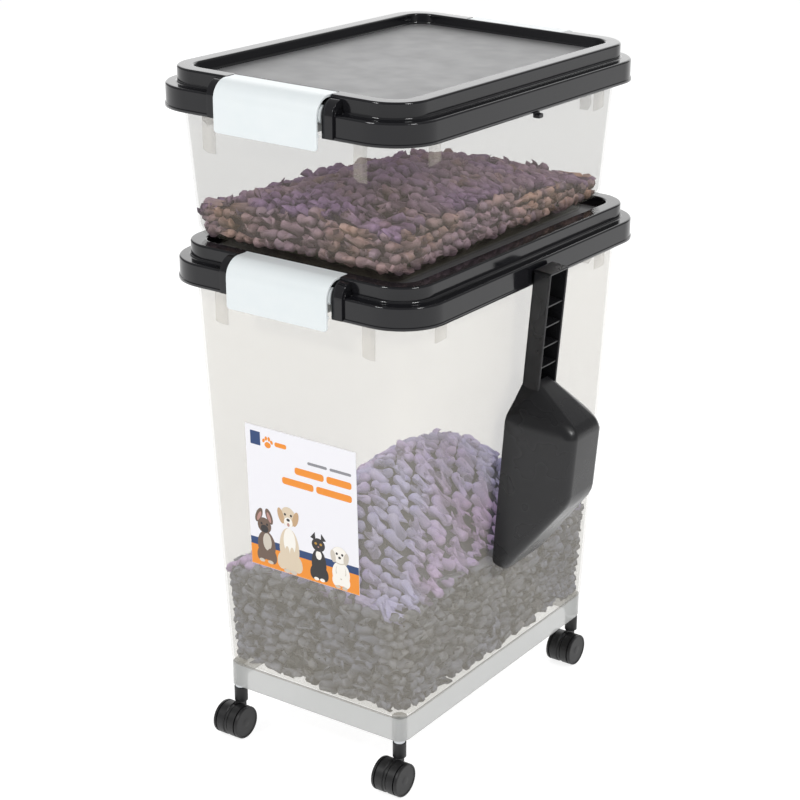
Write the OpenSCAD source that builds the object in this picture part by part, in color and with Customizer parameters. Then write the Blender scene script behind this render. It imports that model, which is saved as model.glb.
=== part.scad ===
// Stacking pet food bin: a deep bin on casters, a shallow bin nested on its lid,
// a lid with two hinged latches on each, a scoop on the lower lid's hook and a
// front label. X is the width, -Y the front with the label, Z is up from the floor.

/* [Stack] */
// Height of the lower lid's skirt edge above the floor
lower_lid_z = 471; // [430:1:520]
// Height of the upper lid above the lower one
stack_step = 155; // [140:1:180]
// Sideways seat of the upper bin in the lower lid's recess
seat_x = -8; // [-10:1:10]

/* [Lids] */
// Width over the skirt
lid_w = 278; // [268:1:290]
// Length over the skirt
lid_l = 402; // [390:1:420]
// Height from the skirt's edge to the top of the raised ring
lid_h = 35; // [34:1:37]
// Step in from the skirt to the raised ring
ring_inset = 10.5; // [9.5:0.5:11]
// Width of the raised ring
ring_w = 15; // [14.5:0.5:16]
// Depth of the stacking recess inside the ring
recess_d = 10; // [8:1:11]
// Corner radius of the raised ring, seen from above
ring_r = 34; // [30:1:38]

/* [Bins] */
// Wall thickness of the bins
wall = 2.5; // [2:0.5:3]
// Lower bin: lean of each wall in degrees
lower_draft = 2.05; // [1.5:0.05:2.3]
// Upper bin: lean of each wall in degrees
upper_draft = 3.3; // [2.5:0.1:3.8]
// Radius along the upper bin's bottom edge
belly_r = 12; // [10:1:14]
// Height of the skirt under the lower bin's floor
base_h = 27; // [24:1:30]

/* [Latches] */
// Width of a latch
latch_w = 109; // [90:1:116]
// Radius of a latch's shoulder, between its plate and its top
latch_r = 10; // [9.5:0.5:10]
// Thickness of the latch plate
latch_t = 2.5; // [2:0.5:3]
// Reach of the latch below the skirt's edge
latch_drop = 10; // [8:1:14]

/* [Scoop] */
// Length of the handle
handle_l = 112; // [100:1:120]
// Width of the handle
handle_w = 32; // [28:1:34]
// Depth of the handle's channel
handle_d = 18; // [14:1:20]
// Overall length of the scoop
scoop_l = 303; // [285:1:315]
// Depth of the bowl
bowl_d = 67; // [55:1:72]
// Lean of the hanging scoop towards the bin, in degrees
scoop_lean = 4.6; // [4:0.1:4.8]

/* [Casters] */
// Wheel diameter
wheel_d = 33; // [30:1:36]
// Width over both wheels of a caster
wheels_w = 29; // [26:1:32]
// Distance of the wheel axle behind the swivel axis
trail = 10; // [8:1:12]
// Distance of the stems from the middle, across
stem_x = 95.5; // [94:0.5:96]
// Distance of the stems from the middle, lengthwise
stem_y = 158; // [156:0.5:158.5]

/* [Label] */
// Width of the label
label_w = 125; // [80:1:140]
// Height of the label
label_h = 143; // [80:1:160]
// Height of the label's middle above the floor
label_z = 271; // [200:1:340]

/* [Hidden] */
SIDES = ["front", "back"];
CORNERS = [["fl", -1, -1], ["fr", 1, -1], ["bl", -1, 1], ["br", 1, 1]];
CASTER_NODES = [for (c = CORNERS, p = ["stem", "collar", "hood", "axle", "wheel_a", "wheel_b"])
    str("caster_", c[0], "_", p)];
$fn = 48;

black = "#303033";
clear_pp = "#e4e1d8";
milk = "#e9eceb";
nylon = "#2b2b2b";
steel = "#b9bcc0";
foam = "#6a6a6a";
paper = "#f2f1ee";

upper_lid_z = lower_lid_z + stack_step;
skirt_r = ring_r + ring_inset;
skirt_top = 20.5;
shell_t = 2.5;
inset_in = ring_inset + ring_w;
recess_z = lid_h - recess_d;
seal_z = 28;
seal_h = 3;

// The bin's wall line at the skirt edge, half-width and half-length
wall_x = lid_w / 2 - 17;
wall_y = lid_l / 2 - 17;
wall_r = 23;
flange_x = lid_w / 2 - 4.5;
flange_y = lid_l / 2 - 4.5;
flange_z = 4;
flange_h = 8.5;
catch_w = 100;
catch_y = lid_l / 2 + 2.5;

// The middle of the latch's shoulder, and its pivot from there, inwards and up
shoulder_y = lid_l / 2 - 1.5;
shoulder_z = lid_h - latch_r;
pivot_in = 19.7;
pivot_up = latch_r - 1.4;
hub_r = 1.4;
pin_r = 1.1;
top_t = 1.6;
gap_floor = lid_h - 3;
run_gap = 0.05;
ear_w = 11;
ear_face = 4;
ear_r = 14.6;
ear_drop = 7.1;
ear_gap = 1;
ear_x = latch_w / 2 + ear_gap;

floor_z = wheel_d / 2 + 36.3;
bin_floor_z = floor_z + base_h;
base_drop = lower_lid_z - bin_floor_z;
base_x = wall_x - base_drop * tan(lower_draft) - 4;
base_y = wall_y - base_drop * tan(lower_draft) - 5;
base_r = 12;
stem_r = 4;
socket_depth = 22;

// The scoop hangs on a nose on the skirt's long side
hook_z = lower_lid_z - 4.8;
hook_u = 20;
hang_x = lid_w / 2 + 2.6;
hang_z = hook_z + hook_u;
bowl_top = 150;
bowl_knee = 205;
bowl_edge_r = 9;
scoop_reach = hang_x + (bowl_d - bowl_edge_r) * cos(scoop_lean)
    - bowl_top * sin(scoop_lean) + bowl_edge_r;
lip_out = 0.9;
stack_left = lid_w / 2 + lip_out - min(0, seat_x);
mid_x = (stack_left - scoop_reach) / 2;

// A slab with round corners, its middle at the origin
module slab(hx, hy, r, h) {
    linear_extrude(h) {
        square([2 * (hx - r), 2 * hy], center = true);
        square([2 * hx, 2 * (hy - r)], center = true);
        for (x = [-1, 1], y = [-1, 1]) translate([x * (hx - r), y * (hy - r)]) circle(r);
    }
}

// A slab that follows the lid's outline, set in from the skirt
module lid_slab(inset, h) {
    slab(lid_w / 2 - inset, lid_l / 2 - inset, skirt_r - inset, h);
}

// Everything at one end of a lid is drawn at +Y; this puts it at the front or the back
module at_end(side) {
    rotate([0, 0, side == "front" ? 180 : 0]) children();
}

// The profile of a lid's ear across the skirt: a quarter round over an upright face
module ear_outline() {
    intersection() {
        translate([ear_face - ear_r, -ear_drop]) circle(ear_r);
        translate([ear_face - ear_r, -ear_drop]) square(ear_r);
    }
    translate([-11, -shoulder_z]) square([11 + ear_face, shoulder_z - ear_drop]);
}

// An extrusion along X of a profile given as (outwards, up) from the latch's shoulder
module across(x0, length) {
    translate([x0 + length, shoulder_y, shoulder_z]) rotate([90, 0, -90]) mirror([1, 0, 0])
        linear_extrude(length) children();
}

module lid_ears() {
    for (s = [-1, 1]) {
        across(s > 0 ? ear_x : -ear_x - ear_w, ear_w) ear_outline();
        across(s > 0 ? ear_x + ear_w : -ear_x - ear_w - 1, 1) translate([-5, -5.5]) difference() {
            circle(6.3);
            circle(4.1);
        }
    }
}

// What is cut from a lid for one latch: the gap in the skirt, the ring's top and the pin bores
module latch_cut() {
    translate([-ear_x, lid_l / 2 - ring_inset, -5]) cube([2 * ear_x, 30, lid_h + 10]);
    translate([-ear_x, shoulder_y - pivot_in - hub_r - 0.3, gap_floor]) cube([2 * ear_x, 40, 10]);
    across(-ear_x - 7, 2 * ear_x + 14) translate([-pivot_in, pivot_up]) circle(pin_r + run_gap);
}

// The tab under the middle of the +X side, with the nose that the scoop hangs on
module scoop_hook() {
    translate([lid_w / 2 - 4, -6, -6.5]) cube([4, 12, 9]);
    translate([lid_w / 2 - 1, -4, -6.5]) cube([5, 8, 4]);
}

module lid(z, x) {
    color(black) translate([mid_x + x, 0, z]) difference() {
        union() {
            lid_slab(0, skirt_top);
            lid_slab(-lip_out, 2.5);
            lid_slab(ring_inset, lid_h);
            for (side = SIDES) at_end(side) lid_ears();
            scoop_hook();
        }
        translate([0, 0, recess_z]) lid_slab(inset_in, lid_h);
        translate([0, 0, -1]) difference() {
            lid_slab(shell_t, skirt_top - shell_t + 0.5);
            translate([0, 0, -1]) lid_slab(inset_in - shell_t, lid_h);
        }
        translate([0, 0, -1]) difference() {
            lid_slab(ring_inset + shell_t, seal_z + seal_h + 1);
            translate([0, 0, -1]) lid_slab(inset_in - shell_t, lid_h + 5);
        }
        translate([0, 0, -1]) lid_slab(inset_in, recess_z - shell_t + 1);
        translate([0, 0, -1]) lid_slab(shell_t, flange_z + flange_h - 5);
        for (side = SIDES) at_end(side) latch_cut();
    }
}

module seal(z, x) {
    color(foam) translate([mid_x + x, 0, z + seal_z]) difference() {
        lid_slab(ring_inset + shell_t + 0.3, seal_h);
        translate([0, 0, -1]) lid_slab(inset_in - shell_t - 0.3, seal_h + 2);
    }
}

// The latch's section: a hub, a flat top, a round shoulder, a plate and a barb behind it
module latch_outline() {
    translate([-pivot_in, pivot_up]) circle(hub_r);
    translate([-pivot_in, latch_r - top_t]) square([pivot_in, top_t]);
    intersection() {
        difference() {
            circle(latch_r);
            circle(latch_r - latch_t);
        }
        square(2 * latch_r);
    }
    translate([latch_r - latch_t, -shoulder_z - latch_drop]) square([latch_t, shoulder_z + latch_drop]);
    translate([catch_y - shoulder_y + 1.5, flange_z - shoulder_z - 3]) square([latch_r - 5.5, 2.7]);
}

module latch(z, x, side) {
    color(milk) translate([mid_x + x, 0, z]) at_end(side) {
        across(-latch_w / 2, latch_w) latch_outline();
        for (x = [-latch_w / 2, latch_w / 2 - 3]) across(x, 3) circle(latch_r - latch_t + 0.2);
        for (x = [-latch_w / 2 - 6, latch_w / 2 - 1]) across(x, 7)
            translate([-pivot_in, pivot_up]) circle(pin_r);
    }
}

// The rim round each bin: a flange with a turned-down edge and a catch at each end
module rim(z, x) {
    color(clear_pp) translate([mid_x + x, 0, z]) difference() {
        union() {
            translate([0, 0, flange_z]) slab(flange_x, flange_y, skirt_r - 4.5, flange_h);
            translate([-catch_w / 2, -catch_y, flange_z]) cube([catch_w, 2 * catch_y, flange_h]);
        }
        translate([0, 0, flange_z - 1]) difference() {
            slab(flange_x - wall, flange_y - wall, skirt_r - 4.5 - wall, flange_h + 1 - wall);
            slab(wall_x - 2, wall_y - 2, wall_r, flange_h + 1 - wall);
        }
        translate([0, 0, flange_z - 1])
            slab(wall_x + run_gap, wall_y + run_gap, wall_r + run_gap, flange_h + 2);
    }
}

// An upright rib on the wall, its foot cut on a slant; drawn for a wall that faces +X
module wall_rib(reach) {
    rotate([90, 0, 0]) translate([0, 0, -5]) linear_extrude(10)
        polygon([[-3, flange_z + 3], [4.5, flange_z + 3], [4.5, 5 - reach], [-3 , -reach]]);
}

module wall_ribs() {
    for (y = [-137, 137], turn = [0, 180]) rotate([0, 0, turn]) translate([wall_x - 1, y, 0]) wall_rib(26);
    for (x = [-81, 81], turn = [90, 270]) rotate([0, 0, turn]) translate([wall_y - 1, x, 0]) wall_rib(38);
}

// The outline of a bin at a height below the skirt edge, where the walls lean in
module wall_slice(z, draft, inset, r) {
    out = z * tan(draft) - inset;
    translate([0, 0, z]) slab(wall_x + out, wall_y + out, r, 0.1, $fn = 32);
}

// The upright neck of a bin, from the skirt edge up to the seal
module bin_neck(inset, h) {
    slab(wall_x - inset, wall_y - inset, wall_r - inset, h);
}

module lower_bin() {
    color(clear_pp) translate([mid_x, 0, lower_lid_z]) {
        difference() {
            union() {
                hull() for (z = [-base_drop - wall, -0.1]) wall_slice(z, lower_draft, 0, wall_r);
                translate([0, 0, -0.1]) bin_neck(0, seal_z + 0.1);
                translate([0, 0, -base_drop - base_h]) slab(base_x, base_y, base_r, base_h);
                wall_ribs();
            }
            hull() for (z = [-base_drop, -0.1]) wall_slice(z, lower_draft, wall, wall_r - wall);
            translate([0, 0, -0.1]) bin_neck(wall, seal_z + 1);
            translate([0, 0, -base_drop - base_h - 1]) difference() {
                slab(base_x - wall, base_y - wall, base_r - wall, base_h + 1 - wall);
                for (c = CORNERS) translate([c[1] * stem_x, c[2] * stem_y]) cylinder(r = 7.6, h = base_h);
            }
            for (c = CORNERS) translate([c[1] * stem_x, c[2] * stem_y, -base_drop - base_h - 1])
                cylinder(r = stem_r + run_gap, h = socket_depth + 1);
        }
    }
}

// The upper bin's body as one solid, its bottom edge rounded in steps
module upper_solid(inset) {
    belly = belly_r - inset;
    z0 = lid_h + 1.5 - stack_step + inset;
    hull() {
        for (a = [0, 30, 60, 90]) wall_slice(z0 + belly * (1 - cos(a)), upper_draft,
            inset + belly * (1 - sin(a)), wall_r - inset - 9 * cos(a));
        wall_slice(-0.1, upper_draft, inset, wall_r - inset);
    }
    translate([0, 0, -0.1]) bin_neck(inset, seal_z + 0.1 + inset);
}

// The upper bin's foot, which drops into the recess of the lid below
module foot_slab(inset, h) {
    slab(wall_x - 22 - inset, wall_y - 22 - inset, 16 - inset, h);
}

module upper_bin() {
    foot_z = recess_z - stack_step;
    color(clear_pp) translate([mid_x + seat_x, 0, upper_lid_z]) difference() {
        union() {
            upper_solid(0);
            translate([0, 0, foot_z]) foot_slab(0, lid_h + 3 - recess_z);
            wall_ribs();
        }
        upper_solid(wall);
        translate([0, 0, foot_z + wall]) foot_slab(wall, 15);
    }
}

module front_label() {
    z = label_z - lower_lid_z;
    y = wall_y + z * tan(lower_draft) + 0.15;
    color(paper) translate([mid_x, -y, label_z]) rotate([lower_draft, 0, 0])
        translate([-label_w / 2, -0.4, -label_h / 2]) cube([label_w, 0.4, label_h]);
}

// The bowl's solid, before it is hollowed: the neck, the rim and the flat underside
module bowl_solid(t) {
    hull() {
        translate([-0.1, t - handle_w / 2, -handle_l - 2 * t]) cube([handle_d - t, handle_w - 2 * t, 1]);
        for (w = [-1, 1]) {
            translate([-0.1, w * 32.5, -139]) rotate([0, 90, 0]) cylinder(r = 9 - t, h = 2);
            translate([-0.1, w * 35.5, 3 - scoop_l]) rotate([0, 90, 0]) cylinder(r = 3 - t / 2, h = 2);
            for (u = [bowl_top, bowl_knee]) translate([bowl_d - bowl_edge_r, w * 18, -u])
                sphere(bowl_edge_r - t, $fn = 24);
        }
    }
}

// Drawn hanging from its top: X is the depth of the bowl, -Z runs along the handle
module scoop() {
    t = 2.3;
    color(black) translate([mid_x + hang_x, 0, hang_z]) rotate([0, scoop_lean, 0]) difference() {
        union() {
            difference() {
                bowl_solid(0);
                translate([-0.2, 0, 0]) bowl_solid(t);
            }
            difference() {
                translate([0, -handle_w / 2, -handle_l - 6]) cube([handle_d, handle_w, handle_l + 6]);
                translate([t, t - handle_w / 2, -handle_l])
                    cube([handle_d, handle_w - 2 * t, handle_l - t]);
            }
            for (u = [34, 54, 74, 94]) translate([0, 1 - handle_w / 2, -u])
                cube([handle_d - 1.5, handle_w - 2, 1.6]);
        }
        translate([-1, -5, -hook_u - 2.9]) cube([4, 10, 5.8]);
    }
}

// A caster, drawn on the floor with its swivel axis on the Z axis and its wheels towards -Y
module at_caster(c) {
    translate([mid_x + c[1] * stem_x, c[2] * stem_y]) children();
}

module along_axle(x0, r, h) {
    translate([x0, -trail, wheel_d / 2]) rotate([0, 90, 0]) cylinder(r = r, h = h);
}

hood_top = floor_z - 3.6;
hood_low = wheel_d + 1.2;
web_t = 2.6;
axle_r = 2;

module caster_stem(c) {
    stem_low = hood_low + 2;
    color(steel) at_caster(c) translate([0, 0, stem_low])
        cylinder(r = stem_r, h = floor_z + socket_depth - 1 - stem_low);
}

module caster_collar(c) {
    color(steel) at_caster(c) translate([0, 0, hood_top]) difference() {
        cylinder(r = 5.5, h = floor_z - hood_top);
        translate([0, 0, -1]) cylinder(r = stem_r + run_gap, h = 10);
    }
}

module caster_hood(c) {
    color(nylon) at_caster(c) difference() {
        union() {
            translate([0, 0, hood_low]) cylinder(r = 6.5, h = hood_top - hood_low - 0.1);
            along_axle(-web_t / 2, wheel_d / 2 - 0.8, web_t);
            translate([-web_t / 2, -trail, wheel_d / 2])
                cube([web_t, trail + 6, hood_low - wheel_d / 2 + 1]);
        }
        translate([0, 0, hood_low + 1.9]) cylinder(r = stem_r + run_gap, h = 30);
        along_axle(-web_t, axle_r, 2 * web_t);
    }
}

module caster_axle(c) {
    color(steel) at_caster(c) along_axle(3.5 - wheels_w / 2, axle_r, wheels_w - 7);
}

// A wheel is a cup with a groove near its outer face; side is the way it faces along X
module caster_wheel(c, side) {
    inner = web_t / 2 + 0.4;
    w = wheels_w / 2 - inner;
    color(nylon) at_caster(c) translate([0, -trail, wheel_d / 2]) rotate([0, 90 * side, 0])
        translate([0, 0, inner]) difference() {
            cylinder(r = wheel_d / 2, h = w);
            translate([0, 0, w - 3.6]) difference() {
                cylinder(r = wheel_d / 2 + 1, h = 0.8);
                cylinder(r = wheel_d / 2 - 1.5, h = 0.8);
            }
            translate([0, 0, w - 0.6]) cylinder(r = wheel_d / 2 - 1.8, h = 1);
            translate([0, 0, -1]) cylinder(r = axle_r + run_gap, h = w - 2);
        }
}

lower_bin();
rim(lower_lid_z, 0);  // lower_rim
front_label();
lid(lower_lid_z, 0);  // lower_lid
seal(lower_lid_z, 0);  // lower_seal
latch(lower_lid_z, 0, "front");  // lower_front_latch
latch(lower_lid_z, 0, "back");  // lower_back_latch
scoop();
upper_bin();
rim(upper_lid_z, seat_x);  // upper_rim
lid(upper_lid_z, seat_x);  // upper_lid
seal(upper_lid_z, seat_x);  // upper_seal
latch(upper_lid_z, seat_x, "front");  // upper_front_latch
latch(upper_lid_z, seat_x, "back");  // upper_back_latch
for (c = CORNERS) {
    caster_stem(c);
    caster_collar(c);
    caster_hood(c);
    caster_axle(c);
    caster_wheel(c, -1);
    caster_wheel(c, 1);
}
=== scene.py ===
import math
import random

import bmesh
import bpy
from mathutils import Euler, Matrix, Vector


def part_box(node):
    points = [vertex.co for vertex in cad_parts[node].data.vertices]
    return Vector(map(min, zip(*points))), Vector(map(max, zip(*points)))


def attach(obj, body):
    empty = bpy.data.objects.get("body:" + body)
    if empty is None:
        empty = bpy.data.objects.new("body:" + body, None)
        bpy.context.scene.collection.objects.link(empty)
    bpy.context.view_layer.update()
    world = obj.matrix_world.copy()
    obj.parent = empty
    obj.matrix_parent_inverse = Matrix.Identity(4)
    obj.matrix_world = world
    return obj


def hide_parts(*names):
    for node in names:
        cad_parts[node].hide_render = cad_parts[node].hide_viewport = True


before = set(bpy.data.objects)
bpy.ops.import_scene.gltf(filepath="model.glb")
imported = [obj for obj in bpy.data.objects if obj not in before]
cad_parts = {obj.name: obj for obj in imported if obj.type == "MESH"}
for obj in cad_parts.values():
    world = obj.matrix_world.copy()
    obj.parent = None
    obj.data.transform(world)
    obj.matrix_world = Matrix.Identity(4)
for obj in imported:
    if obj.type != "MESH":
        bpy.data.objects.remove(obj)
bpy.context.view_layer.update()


# ---- Lower bin ---------------------------------------------------------------------------
# A deep bin in natural polypropylene, injection moulded with a 2 degree draft, a flanged rim,
# stiffening ribs under the rim, and a hollow base band that takes the caster sockets.
# Pieces are drawn in millimetres round their own middle, then placed and scaled to metres.

def srgb(colour):
    """A hex colour as the linear RGBA that the shaders expect."""
    parts = [int(colour[i:i + 2], 16) / 255 for i in (1, 3, 5)]
    return [c / 12.92 if c <= 0.04045 else ((c + 0.055) / 1.055) ** 2.4 for c in parts] + [1.0]


def finish_of(name, values):
    """A new material and its Principled shader, with the shader's plain values."""
    material = bpy.data.materials.new(name)
    material.use_nodes = True
    shader = material.node_tree.nodes["Principled BSDF"]
    for socket, value in values.items():
        shader.inputs[socket].default_value = value
    return material, shader


def add(material, kind, settings=None, values=None, links=None):
    """Adds a node to a material, with its settings, plain values and incoming links."""
    node = material.node_tree.nodes.new(kind)
    for name, value in (settings or {}).items():
        setattr(node, name, value)
    for socket, value in (values or {}).items():
        node.inputs[socket].default_value = value
    for socket, source in (links or {}).items():
        material.node_tree.links.new(source, node.inputs[socket])
    return node


def flat(half_x, half_y, radius, z, steps=10):
    """A flat face with round corners."""
    bm = bmesh.new()
    bmesh.ops.create_grid(bm, x_segments=1, y_segments=1, size=1)
    bmesh.ops.scale(bm, vec=(half_x, half_y, 1), verts=bm.verts)
    bmesh.ops.translate(bm, vec=(0, 0, z), verts=bm.verts)
    bmesh.ops.bevel(bm, geom=bm.verts[:], offset=radius, segments=steps, profile=0.5,
                    affect="VERTICES", material=-1)
    return bm, bm.faces[:][0]


def rise(bm, face, height, spread=0):
    """Draws a face up by height and its sides outwards by spread; returns the new face."""
    top = bmesh.ops.extrude_discrete_faces(bm, faces=[face])["faces"][0]
    for v in top.verts:
        v.co += Vector((math.copysign(spread, v.co.x), math.copysign(spread, v.co.y), height))
    return top


def step_in(bm, face, width):
    """Insets a face by an even width and returns it."""
    bmesh.ops.inset_region(bm, faces=[face], thickness=width, use_even_offset=True)
    return face


def round_edges(bm, radius, steps, low=-1e9, high=1e9):
    """Rounds the sharp edges that lie between two heights."""
    bm.normal_update()
    sharp = [e for e in bm.edges if len(e.link_faces) == 2 and e.calc_face_angle() > 0.5
             and all(low <= v.co.z <= high for v in e.verts)]
    bmesh.ops.bevel(bm, geom=sharp, offset=radius, segments=steps, profile=0.5,
                    affect="EDGES", material=-1, clamp_overlap=True)


def block(bm, low, high, radius=0.6, steps=2):
    """Adds a block between two corners, with its edges rounded; returns its vertices."""
    low, high = Vector(map(min, low, high)), Vector(map(max, low, high))
    place = Matrix.Translation((high + low) / 2) @ Matrix.Diagonal((*(high - low), 1))
    verts = bmesh.ops.create_cube(bm, size=1, matrix=place)["verts"]
    edges = {e for v in verts for e in v.link_edges}
    return bmesh.ops.bevel(bm, geom=list(edges), offset=radius, segments=steps, profile=0.5,
                           affect="EDGES", material=-1, clamp_overlap=True)["verts"]


def put(name, bm, finish, body, place, stands_for=(), wall=0, crease=35):
    """Places a mesh drawn in millimetres, gives it its wall, finish and body, and shows it."""
    bmesh.ops.translate(bm, vec=place, verts=bm.verts)
    bmesh.ops.scale(bm, vec=(0.001, 0.001, 0.001), verts=bm.verts)
    mesh = bpy.data.meshes.new(name)
    bm.to_mesh(mesh)
    bm.free()
    for face in mesh.polygons:
        face.use_smooth = True
    mesh.set_sharp_from_angle(angle=math.radians(crease))
    for one in finish if isinstance(finish, list) else [finish]:
        mesh.materials.append(one)
    piece = bpy.data.objects.new(name, mesh)
    bpy.context.scene.collection.objects.link(piece)
    if wall:
        shell = piece.modifiers.new("wall", "SOLIDIFY")
        shell.thickness = wall / 1000
        shell.offset = -1
        shell.use_even_offset = True
    even = piece.modifiers.new("even shading", "WEIGHTED_NORMAL")
    even.keep_sharp = True
    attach(piece, body)
    if stands_for:
        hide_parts(*stands_for)
    return piece


def frosted_polypropylene(name, milk, shade, clarity):
    """Natural PP, moulded: milky and see-through, with faint flow marks and a soft gloss."""
    material, shader = finish_of(name, {"Roughness": 0.3, "IOR": 1.49, "Alpha": clarity})
    where = add(material, "ShaderNodeTexCoord")
    # Flow marks run up the wall, about 60 mm across and four times as long
    stretch = add(material, "ShaderNodeMapping", values={"Scale": (16, 16, 4)},
                  links={"Vector": where.outputs["Object"]})
    flow = add(material, "ShaderNodeTexNoise", values={"Scale": 1, "Detail": 3},
               links={"Vector": stretch.outputs["Vector"]})
    colour = add(material, "ShaderNodeMix", {"data_type": "RGBA"}, links={0: flow.outputs["Fac"]})
    colour.inputs[6].default_value = srgb(milk)
    colour.inputs[7].default_value = srgb(shade)
    material.node_tree.links.new(colour.outputs[2], shader.inputs["Base Color"])
    # The wall's slow wave, some 25 mm from crest to crest
    wave = add(material, "ShaderNodeTexNoise", values={"Scale": 40, "Detail": 1},
               links={"Vector": where.outputs["Object"]})
    relief = add(material, "ShaderNodeBump", values={"Strength": 0.2, "Distance": 0.0005},
                 links={"Height": wave.outputs["Fac"]})
    material.node_tree.links.new(relief.outputs["Normal"], shader.inputs["Normal"])
    return material


def wall_rib(bm, foot, turn, reach):
    """A rib 10 mm wide that stands 3.5 mm off the wall, its foot cut on a slant."""
    size = Matrix.Translation((1.2, 0, (7 - reach) / 2)) @ Matrix.Diagonal((6.6, 10, 7 + reach, 1))
    verts = bmesh.ops.create_cube(bm, size=1, matrix=size)["verts"]
    for v in verts:
        if v.co.x > 0 and v.co.z < 0:
            v.co.z += 5
    edges = {e for v in verts for e in v.link_edges}
    made = bmesh.ops.bevel(bm, geom=list(edges), offset=0.7, segments=2, profile=0.5,
                           affect="EDGES", material=-1)["verts"]
    place = Matrix.Translation((*foot, 0)) @ Matrix.Rotation(math.radians(turn), 4, "Z")
    bmesh.ops.transform(bm, matrix=place, verts=made)


def bin_wall(bottom_x, bottom_y, spread, drop, bottom_radius):
    """An open bin, drawn from its bottom face: drafted walls, then an upright neck."""
    bm, face = flat(bottom_x, bottom_y, 23, -drop, 12)
    copied = bmesh.ops.duplicate(bm, geom=[face])["geom"]
    bmesh.ops.reverse_faces(bm, faces=[g for g in copied if isinstance(g, bmesh.types.BMFace)])
    top = rise(bm, rise(bm, face, drop, spread), 28)
    bmesh.ops.delete(bm, geom=[top], context="FACES_ONLY")
    bmesh.ops.remove_doubles(bm, verts=bm.verts, dist=0.001)
    round_edges(bm, bottom_radius, 6, high=1 - drop)
    return bm


milky_deep = frosted_polypropylene("frosted_polypropylene_deep_bin", "#d2ccbd", "#ccc6b8", 0.17)
low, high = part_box("lower_bin")
MIDDLE = (low.x + high.x) * 500
LOWER_Z = 471
bm = bin_wall(108, 170, 14, LOWER_Z - 77.3, 5)
put("lower_bin_wall", bm, milky_deep, "lower_bin", (MIDDLE, 0, LOWER_Z),
    ["lower_bin"], wall=2.5)

# The ribs under the rim, and the hollow band under the floor
bm = bmesh.new()
for turn, x, y in ((0, 121.6, 137), (0, 121.6, -137), (180, -121.6, 137), (180, -121.6, -137)):
    wall_rib(bm, (x, y), turn, 26)
for turn, x, y in ((90, 81, 183.6), (90, -81, 183.6), (-90, 81, -183.6), (-90, -81, -183.6)):
    wall_rib(bm, (x, y), turn, 38)
put("lower_bin_ribs", bm, milky_deep, "lower_bin", (MIDDLE, 0, LOWER_Z))

milky_band = frosted_polypropylene("frosted_polypropylene_base_band", "#c2c3c1", "#c9cac9", 0.55)
bm, face = flat(104, 165, 12, 52.8)
top = rise(bm, face, 24)
bmesh.ops.delete(bm, geom=[top], context="FACES_ONLY")
put("lower_bin_band", bm, milky_band, "lower_bin", (MIDDLE, 0, 0), wall=2.5)

# Blind sockets for the caster stems, under the floor at the four corners
CASTERS = {"fl": (-1, -1), "fr": (1, -1), "bl": (-1, 1), "br": (1, 1)}
bm = bmesh.new()
for side, end in CASTERS.values():
    place = Matrix.Translation((side * 95.5, end * 158, 64.9))
    bmesh.ops.create_cone(bm, cap_ends=True, segments=32, radius1=7.2, radius2=7.2, depth=24,
                          matrix=place)
put("lower_bin_sockets", bm, milky_band, "lower_bin", (MIDDLE, 0, 0))


# ---- Rims --------------------------------------------------------------------------------
# The flange that the lid's seal sits over, moulded with the bin: a flat collar with a
# turned-down edge, and a catch for the latch at each end.

def rim(name, body, node, place):
    bm, face = flat(134.5, 196.5, 40, 4)
    top = step_in(bm, rise(bm, face, 8.5), 12.4)
    bmesh.ops.delete(bm, geom=[top], context="FACES_ONLY")
    round_edges(bm, 1.2, 3)
    put(name, bm, milky_band, body, place, [node], wall=2.2)
    bm = bmesh.new()
    for end in (-1, 1):
        block(bm, (-50, end * 195, 4.2), (50, end * 203.4, 12.4), 0.8)
    put(name + "_catches", bm, milky_band, body, place)


rim("lower_bin_rim", "lower_bin", "lower_rim", (MIDDLE, 0, LOWER_Z))


# ---- Casters -----------------------------------------------------------------------------
# Four plug-in twin-wheel casters. The wheels are black nylon cups, each with a groove near its
# outer face and a dished side; the stem, its collar and the axle are bright zinc-plated steel.

def moulded_nylon(name, colour, gloss):
    """Black PA6, moulded: a fine dull grain that breaks up the highlights."""
    material, shader = finish_of(name, {"Base Color": srgb(colour), "Roughness": gloss})
    shader.inputs["Specular IOR Level"].default_value = 0.4
    where = add(material, "ShaderNodeTexCoord")
    # Grain of 0.4 mm, drawn at 1.2 mm so that it shows
    grain = add(material, "ShaderNodeTexNoise", values={"Scale": 830, "Detail": 2},
                links={"Vector": where.outputs["Object"]})
    relief = add(material, "ShaderNodeBump", values={"Strength": 0.15, "Distance": 0.0002},
                 links={"Height": grain.outputs["Fac"]})
    material.node_tree.links.new(relief.outputs["Normal"], shader.inputs["Normal"])
    dull = add(material, "ShaderNodeMapRange", values={"To Min": gloss - 0.06, "To Max": gloss + 0.1},
               links={"Value": grain.outputs["Fac"]})
    material.node_tree.links.new(dull.outputs["Result"], shader.inputs["Roughness"])
    return material


def zinc_plated_steel():
    """Turned and zinc plated steel: bright, with fine rings from the lathe."""
    material, shader = finish_of("zinc_plated_steel", {"Base Color": srgb("#c3c6c9"),
                                                       "Metallic": 1.0, "Roughness": 0.24})
    where = add(material, "ShaderNodeTexCoord")
    # Lathe rings 0.3 mm apart up the stem, drawn at 1 mm
    rings = add(material, "ShaderNodeTexWave", {"bands_direction": "Z"},
                {"Scale": 300, "Distortion": 1.5}, {"Vector": where.outputs["Object"]})
    relief = add(material, "ShaderNodeBump", values={"Strength": 0.12, "Distance": 0.0001},
                 links={"Height": rings.outputs["Fac"]})
    material.node_tree.links.new(relief.outputs["Normal"], shader.inputs["Normal"])
    return material


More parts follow.
